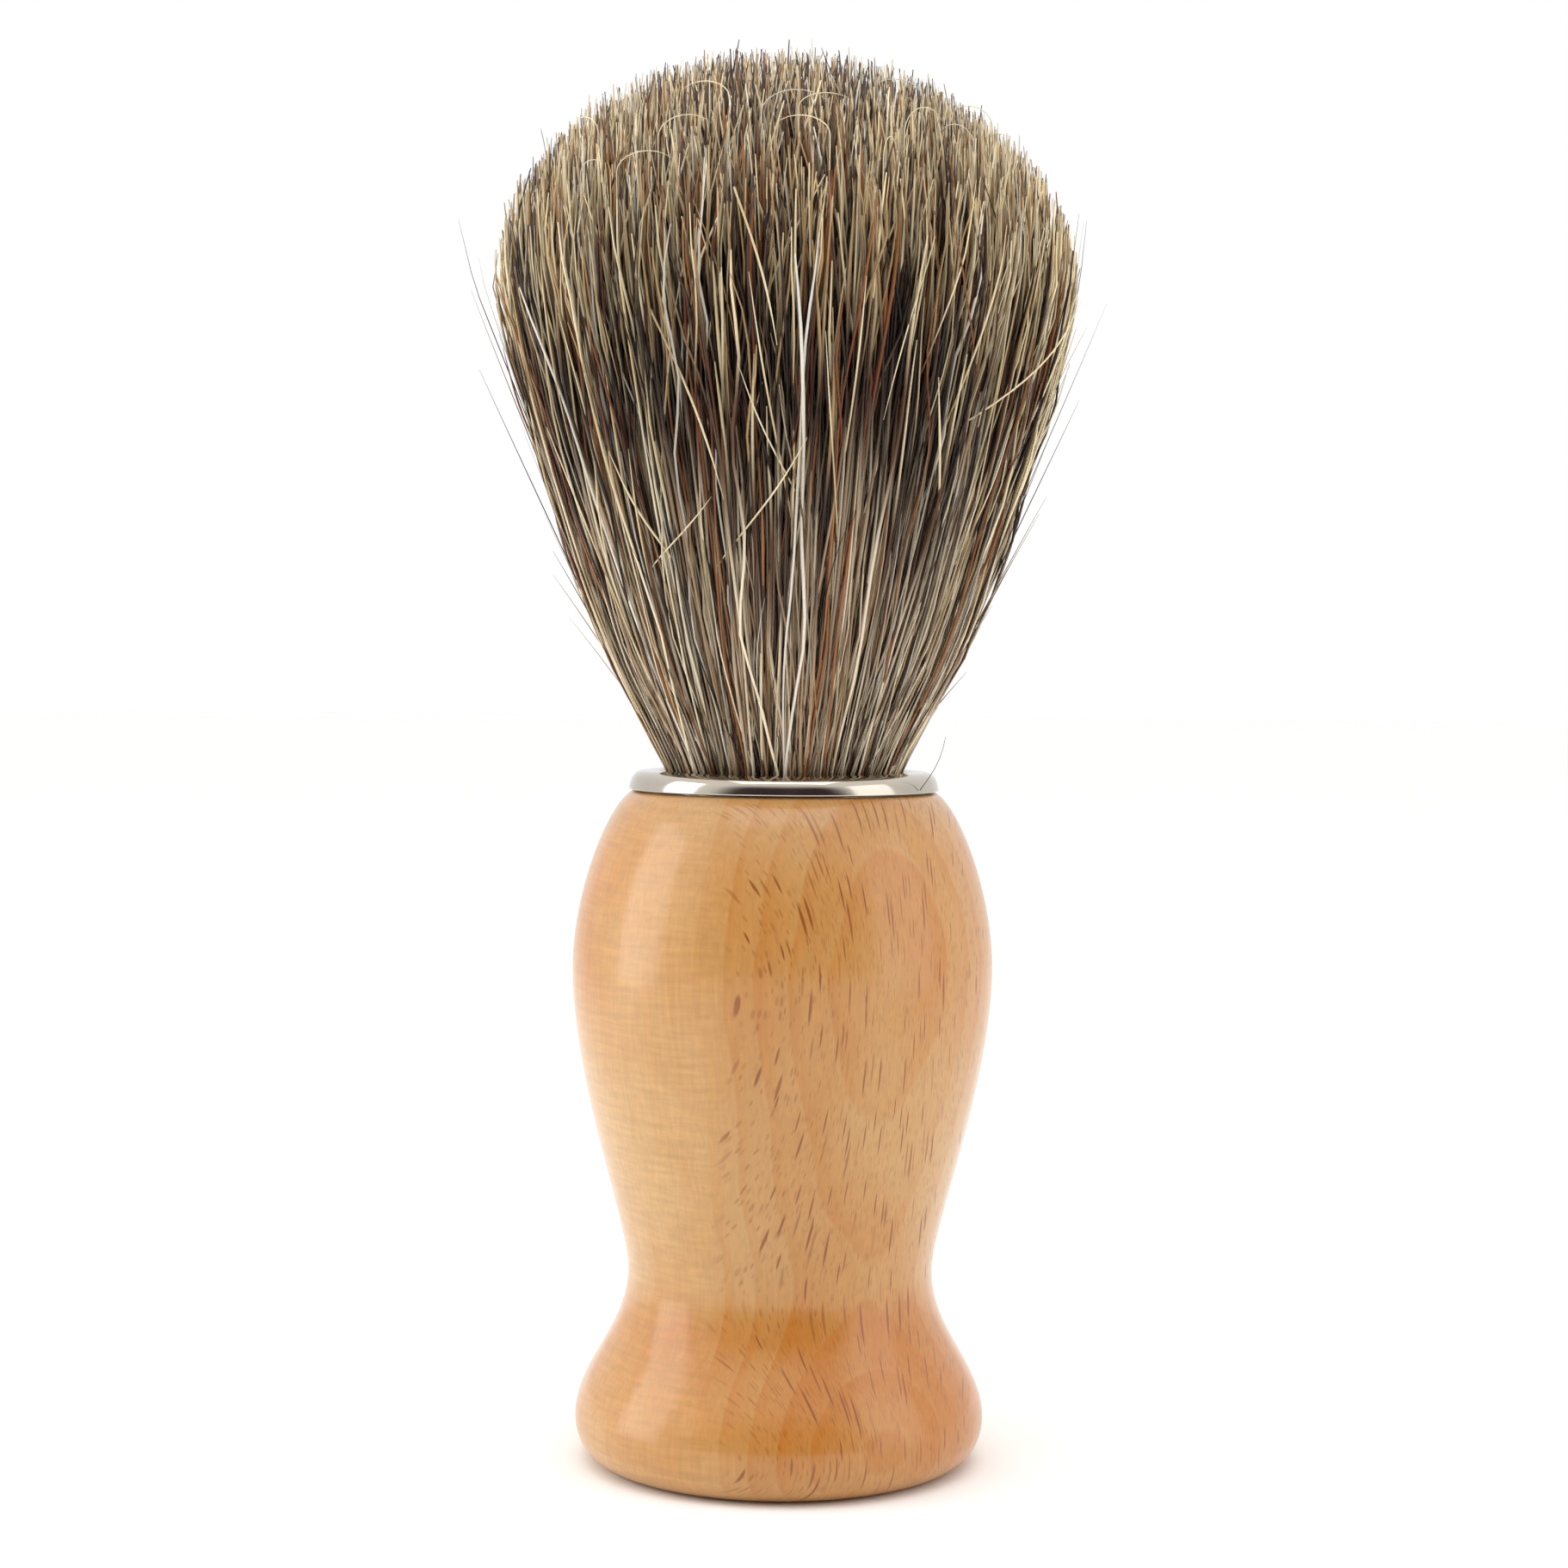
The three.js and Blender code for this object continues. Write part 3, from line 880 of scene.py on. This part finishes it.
# where every hair is rooted, how long it is and how it wanders
def growHairs():
    count = knot["hairs"]
    share = np.sqrt(dice.random(count)) ** knot["crowding"]
    turn = dice.random(count) * 2 * math.pi
    tip = domeHeight(share * knotRadius(np.full(count, crownHeight)))
    veryShort, muchShorter = knot["veryShort"]
    short = dice.exponential(knot["shorter"], count) + dice.normal(*knot["uneven"], count)
    short += np.where(dice.random(count) < veryShort * share, dice.random(count) * muchShorter, 0)
    foot = bendHeight - np.sqrt(knot["cupRadius"] ** 2 - (share * knot["packedRadius"]) ** 2) + 0.2
    unrulyShare, further = knot["unruly"]
    unruly = np.where(dice.random(count) < unrulyShare, further, 1)
    # some hairs at the rim splay out past the rest
    splay = np.where(unruly > 1, dice.uniform(0, knot["splay"], count), 0)
    rim = share > knot["rim"]
    tone = dice.random(count)
    # at the front fewer blond hairs hide the dark band
    blondFrom, blondTo = knot["blond"]
    atFront = np.cos(turn + math.pi / 2) > knot["front"]
    frontBlond = (tone > blondFrom) & (tone < blondTo) & atFront
    frontBlond &= dice.random(count) < 1 - knot["frontBlondLeft"]
    tone = np.where(frontBlond, dice.uniform(*knot["frontTones"], count), tone)
    # painted shade: more dark hairs stand in the middle of the knot, for the shade deep inside it
    shadedMiddleReach, shadedMiddleShare = knot["shadedMiddle"]
    shadedMiddle = (share < shadedMiddleReach) & (dice.random(count) < shadedMiddleShare)
    tone = np.where(shadedMiddle, dice.uniform(*knot["darkKind"], count), tone)
    shortestWave, longerWave = knot["waveLength"]
    thinnest, thicker = knot["thicknessRange"]
    return {
        "share": share,
        "turn": turn,
        "tip": tip,
        "short": short,
        "rootShift": dice.normal(0, knot["rootShift"], count),
        "rootLift": dice.normal(0, knot["rootLift"], count),
        "foot": foot,
        "split": dice.uniform(*knot["split"], count),
        "drift": np.radians(dice.normal(0, knot["drift"], count)) * unruly,
        "sideways": dice.normal(0, knot["sideways"], count) * unruly,
        "outwards": np.where(
            rim, dice.normal(*knot["rimOutwards"], count) + splay, dice.normal(0, knot["outwards"], count)
        ),
        "slant": dice.normal(0, knot["slant"], count) * unruly,
        "waveSize": np.abs(dice.normal(0, knot["waveSize"], (count, knot["waves"]))),
        "wavePhase": dice.random((count, knot["waves"])) * 2 * math.pi,
        "waveLength": shortestWave + longerWave * dice.random((count, knot["waves"])),
        "tone": tone,
        "thickness": knot["thickness"] * (thinnest + thicker * dice.random(count)),
    }


hairs = growHairs()


# joins each hair to the nearest of a few leaders, so that hairs lie together in locks
def gatherLocks():
    across = np.stack(
        [hairs["share"] * np.cos(hairs["turn"]), hairs["share"] * np.sin(hairs["turn"])], axis=1
    )
    leaders = across[dice.choice(len(across), knot["clumps"], replace=False)]
    nearest = np.array([np.argmin(((leaders - point) ** 2).sum(1)) for point in across])
    return leaders[nearest] - across, dice.random(knot["clumps"])[nearest]


lockPull, lockShade = gatherLocks()


# points along the chosen hairs: an array of (hair, point, xyz) in mm
def hairPoints(chosen, heights):
    def column(name):
        return hairs[name][chosen][:, None]

    share = column("share")
    grown = np.clip((heights - collarTop) / (crownHeight - collarTop), 0, 1)
    turn = column("turn") + column("drift") * grown
    radius = share * knotRadius(heights) + column("outwards") * grown ** 3
    # hairs cross over each other just above the ring
    settled = np.clip((heights - collarTop) / knot["settle"], 0, 1)
    radius = radius + column("rootLift") * settled
    sideways = column("sideways") * grown ** 3 + column("slant") * grown ** 1.3
    sideways = sideways + column("rootShift") * settled
    x = radius * np.cos(turn) - sideways * np.sin(turn)
    y = radius * np.sin(turn) + sideways * np.cos(turn)
    atFoot, more = knot["gather"]
    gather = atFoot + more * grown ** 2
    x = x + lockPull[chosen, 0:1] * knotRadius(heights) * gather
    y = y + lockPull[chosen, 1:2] * knotRadius(heights) * gather
    for wave in range(knot["waves"]):
        swing = hairs["waveSize"][chosen, wave][:, None] * grown ** 0.5
        phase = hairs["wavePhase"][chosen, wave][:, None]
        length = hairs["waveLength"][chosen, wave][:, None]
        bend = swing * np.sin(2 * math.pi * heights / length + phase)
        if wave % 2:
            x = x + bend
        else:
            y = y + bend
    return np.stack([x, y, heights], axis=2)


# trims every hair to the dome over the place where its tip stands
everyHair = np.arange(knot["hairs"])
tipPlace = hairPoints(everyHair, hairs["tip"][:, None])[:, 0]
trimmed = domeHeight(np.hypot(tipPlace[:, 0], tipPlace[:, 1])) - knot["crownTilt"] * tipPlace[:, 0]
hairs["tip"] = np.maximum(trimmed, knot["bloom"][1] - 4) - hairs["short"]


# makes one mesh of tapered hairs; tones, shades and fromTip (mm from each tip) colour them
def hairPiece(name, points, radii, tones, shades, fromTip, look):
    count, length = points.shape[:2]
    curve = bpy.data.curves.new(name, "CURVE")
    curve.dimensions = "3D"
    curve.bevel_depth = mm
    curve.bevel_resolution = 0
    for strandPoints, strandRadii in zip(points * mm, radii):
        strand = curve.splines.new("POLY")
        strand.points.add(length - 1)
        strand.points.foreach_set("co", np.column_stack([strandPoints, np.ones(length)]).ravel())
        strand.points.foreach_set("radius", strandRadii)
    holder = bpy.data.objects.new(name, curve)
    bpy.context.collection.objects.link(holder)
    bpy.context.view_layer.update()
    data = bpy.data.meshes.new_from_object(holder.evaluated_get(bpy.context.evaluated_depsgraph_get()))
    bpy.data.objects.remove(holder)
    bpy.data.curves.remove(curve)
    around = len(data.vertices) // (count * length)

    mesh = bmesh.new()
    mesh.from_mesh(data)
    for face in mesh.faces:
        face.smooth = True
    ends = bmesh.ops.holes_fill(mesh, edges=[edge for edge in mesh.edges if edge.is_boundary], sides=around)
    for face in ends["faces"]:
        face.smooth = False
    mesh.to_mesh(data)
    mesh.free()

    data.attributes.new("hairTone", "FLOAT", "POINT").data.foreach_set(
        "value", np.repeat(tones, length * around)
    )
    data.attributes.new("lockShade", "FLOAT", "POINT").data.foreach_set(
        "value", np.repeat(shades, length * around)
    )
    data.attributes.new("fromTip", "FLOAT", "POINT").data.foreach_set(
        "value", np.repeat(fromTip.ravel(), around)
    )

    # each hair has a narrow column of the map to itself, four rows of columns in all
    rows = 4
    hairNumber = np.repeat(np.arange(count), length * around)
    columns = math.ceil(count / rows)
    side = np.tile(np.array([0.12, 0.88] * (around // 2)), count * length)
    along = np.tile(np.repeat(np.linspace(0.05, 0.95, length), around), count)
    mapU = (hairNumber // rows + side) / columns
    mapV = (hairNumber % rows + along) / rows
    corners = np.empty(len(data.loops), int)
    data.loops.foreach_get("vertex_index", corners)
    layer = data.uv_layers.new(name="OFBake")
    layer.data.foreach_set("uv", np.column_stack([mapU[corners], mapV[corners]]).ravel())
    data.materials.clear()
    data.materials.append(look)
    piece = bpy.data.objects.new(name, data)
    bpy.context.collection.objects.link(piece)
    return piece


def hairRadii(thickness, fromTip):
    towardsTip = np.clip(fromTip / knot["taperLength"], 0, 1)
    towardsFoot = np.clip((fromTip - knot["thickUntil"]) / knot["thinOver"], 0, 1)
    tipPart = knot["tipThin"] + (1 - knot["tipThin"]) * towardsTip ** 0.7
    return thickness / 2 * tipPart * (1 - (1 - knot["footThin"]) * towardsFoot)


# single hairs that stand out from the knot; angles in degrees about the axis, the rest in mm
loose = {
    "thin": 0.075,
    "thick": 0.19,
    "length": 18,  # mm, about how much of a loose hair shows
    "taper": 8,  # mm over which it grows to its full thickness
    "slender": 0.25,  # how thick its tip is against its middle
    "shade": 0.6,
    # angle, height where it leaves the knot, height of its tip, how far out the tip stands
    "strays": [
        (183, 74, 96.3, 3.0), (176, 68, 91.5, 2.7), (187, 61, 84.8, 3.3), (172, 59, 69.3, 2.8),
        (184, 60, 74, 1.4), (178, 58, 65.9, 2.3), (192, 70, 93, 2.0), (-3, 68, 90.5, 2.7),
        (4, 62, 83.3, 2.8), (-7, 59, 71.3, 1.5), (8, 58, 67.2, 1.3), (-4, 57.5, 61.9, 1.2),
        (11, 66, 86, 1.8),
    ],
    "moreStrays": 64,
    "strayLeaves": (58, 80),
    "strayLength": (8, 20),
    "strayOut": (0.6, 2.4),
    "strayTones": [0.45, 0.85, 0.95, 0.2],
    # angle and height at its start, then at its end: hairs that lie across the others
    "crossings": [
        (-52, 79.3, -14, 90.3), (-118, 88, -104, 74), (-100, 96, -92, 85), (-150, 76, -141, 92),
        (-76, 70, -83, 86), (-131, 66, -126, 78), (-132, 69, -107, 74.5), (-62, 93, -70, 80),
        (-88, 72, -97, 90),
    ],
    "moreCrossings": 30,
    "crossingStarts": (68, 86),
    "crossingLength": (9, 15),
    "crossingTurn": 11,
    "crossingTones": [0.7, 0.78, 0.65, 0.35, 0.89],
    # angle, share of the knot's radius, width and height of the curl
    "curls": [
        (-96, 0.8, 2.4, 1.6), (-82, 0.86, -2.0, 1.3), (-66, 0.84, 1.5, 1.8), (-72, 0.9, 0.4, 1.4),
        (-117, 0.86, 2.2, 1.5), (-124, 0.92, 2.4, 1.3), (-104, 0.74, -1.8, 1.2), (-88, 0.78, 1.9, 1.0),
        (-135, 0.82, -1.5, 1.2), (-50, 0.86, -1.7, 1.4),
    ],
    "moreCurls": 9,
    "curlWidth": (0.8, 2.8),
    "curlPlace": (0.7, 0.92),
    "curlHeight": (0.8, 1.6),
    "curlTones": [0.7, 0.85, 0.35],
    "curlStem": 4,  # mm that it stands up in the dome
    "curlStarts": 0.3,  # the part of its length after which it bends over
    "curlBend": 150,  # degrees
}


def growLoose():
    steps = np.linspace(0, 1, knot["bloomPoints"])
    grown = []

    def keep(radius, degrees, heights, thickness, tone):
        turn = np.radians(degrees)
        points = np.stack([radius * np.cos(turn), radius * np.sin(turn), heights], axis=1)
        middleX, middleY, _ = points[knot["bloomPoints"] // 2]
        middle = math.atan2(middleY, middleX) % (2 * math.pi)
        fromTip = heights[-1] - heights
        lengthLeft = (1 - steps) * loose["length"]
        radii = thickness / 2 * np.clip(loose["slender"] + lengthLeft / loose["taper"], 0, 1)
        grown.append(
            {"turn": middle, "points": points, "radii": radii, "tone": tone, "fromTip": np.abs(fromTip)}
        )

    strays = list(loose["strays"])
    for _ in range(loose["moreStrays"]):
        leave = dice.uniform(*loose["strayLeaves"])
        degrees = dice.uniform(0, 360)
        tip = leave + dice.uniform(*loose["strayLength"])
        strays.append((degrees, leave, tip, dice.uniform(*loose["strayOut"])))
    for degrees, leave, tip, out in strays:
        heights = leave - 3 + (tip - leave + 3) * steps
        away = np.clip((heights - leave) / (tip - leave), 0, 1)
        radius = knotRadius(heights) * 0.975 + out * away ** 1.5
        wander = dice.normal(0, 2.5) * away ** 2
        keep(radius, degrees + wander, heights, loose["thin"], dice.choice(loose["strayTones"]))

    crossings = list(loose["crossings"])
    for _ in range(loose["moreCrossings"]):
        degrees, start = dice.uniform(0, 360), dice.uniform(*loose["crossingStarts"])
        endDegrees = degrees + dice.normal(0, loose["crossingTurn"])
        crossings.append((degrees, start, endDegrees, start + dice.uniform(*loose["crossingLength"])))
    for degrees, start, endDegrees, end in crossings:
        heights = start + (end - start) * steps
        lift = np.sin(np.clip(steps * 1.3, 0, 1) * math.pi / 2) * 1.15 - 0.7
        radius = knotRadius(heights) + lift
        across = degrees + (endDegrees - degrees) * (steps + 0.12 * np.sin(steps * math.pi))
        thickness = loose["thick"] * dice.uniform(0.6, 1)
        keep(radius, across, heights, thickness, dice.choice(loose["crossingTones"]))

    curls = list(loose["curls"])
    for _ in range(loose["moreCurls"]):
        width = dice.uniform(*loose["curlWidth"]) * dice.choice([-1, 1])
        degrees, share = dice.uniform(0, 360), dice.uniform(*loose["curlPlace"])
        curls.append((degrees, share, width, dice.uniform(*loose["curlHeight"])))
    upright, stem = loose["curlStarts"], loose["curlStem"]
    for degrees, share, width, height in curls:
        out = share * knotRadius(crownHeight)
        top = domeHeight(out) - 0.4
        bent = np.clip((steps - upright) / (1 - upright), 0, 1)
        bend = bent * math.radians(loose["curlBend"])
        heights = np.where(
            steps < upright, top - stem + steps / upright * stem, top + height * np.sin(bend)
        )
        sideways = width * (1 - np.cos(bend))
        radius = out + 0.6 + 0.5 * steps
        turned = degrees + np.degrees(sideways / out)
        keep(radius, turned, heights, loose["thin"], dice.choice(loose["curlTones"]))
    return grown


looseHairs = growLoose()

# one fallen hair that has stuck to the front of the ring
fallen = {
    "start": (10.35, -6.35, 52.9), "end": (12.3, -6.1, 57.0), "sag": 0.35, "thickness": 0.06, "tone": 0.95
}


def fallenHair():
    steps = np.linspace(0, 1, knot["footPoints"])[:, None]
    start, end = np.array(fallen["start"]), np.array(fallen["end"])
    points = start + (end - start) * steps
    points[:, 0] += fallen["sag"] * np.sin(steps[:, 0] * math.pi)
    radii = fallen["thickness"] / 2 * (1 - 0.5 * steps[:, 0])
    return {"points": points, "radii": radii, "tone": fallen["tone"], "fromTip": 12 * (1 - steps[:, 0])}


# the two lengths of one lock, its foot and its bloom, each made as a piece of its own
def growLock(name, chosen, nodes, extras):
    tip, foot, split = [hairs[key][chosen][:, None] for key in ("tip", "foot", "split")]
    footSteps = np.linspace(0, 1, knot["footPoints"])[None, :]
    bloomSteps = np.linspace(0, 1, knot["bloomPoints"])[None, :]
    footTop = split + knot["overlap"]
    lengths = {"foot": foot + (footTop - foot) * footSteps, "bloom": split + (tip - split) * bloomSteps}
    for part, heights in lengths.items():
        fromTip = tip - heights
        points = hairPoints(chosen, heights)
        radii = hairRadii(hairs["thickness"][chosen][:, None], fromTip)
        if part == "foot":
            radii[:, -1] *= knot["overlapThin"]
        tones, shades = hairs["tone"][chosen], lockShade[chosen]
        if extras[part]:
            points = np.concatenate([points, [hair["points"] for hair in extras[part]]])
            radii = np.concatenate([radii, [hair["radii"] for hair in extras[part]]])
            tones = np.concatenate([tones, [hair["tone"] for hair in extras[part]]])
            shades = np.concatenate([shades, [loose["shade"] for hair in extras[part]]])
            fromTip = np.concatenate([fromTip, [hair["fromTip"] for hair in extras[part]]])
        piece = hairPiece(f"{name}_{part}", points, radii, tones, shades, fromTip, materials["bristle"])
        if part == "foot":
            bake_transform(piece)
        else:
            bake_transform(piece)
            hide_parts(*nodes)


def sectorOf(turns):
    return np.floor(np.asarray(turns) / (2 * math.pi) * tuftCount + 0.5).astype(int) % tuftCount


inner = hairs["share"] < knot["coreShare"]
sector = sectorOf(hairs["turn"])
looseSector = sectorOf([hair["turn"] for hair in looseHairs])
growLock("core", np.flatnonzero(inner), ["hair_core", "hair_neck"], {"foot": [], "bloom": []})
for tuft in range(tuftCount):
    chosen = np.flatnonzero(~inner & (sector == tuft))
    extras = {"foot": [], "bloom": [hair for hair, place in zip(looseHairs, looseSector) if place == tuft]}
    if tuft == tuftCount - 1:
        extras["foot"].append(fallenHair())
    growLock(f"tuft_{tuft + 1:02d}", chosen, [f"hair_tuft_{tuft + 1:02d}"], extras)
print("hair is grown:", len(hairs["share"]), "hairs")

scene = bpy.context.scene
scene.view_settings.view_transform = "Standard"
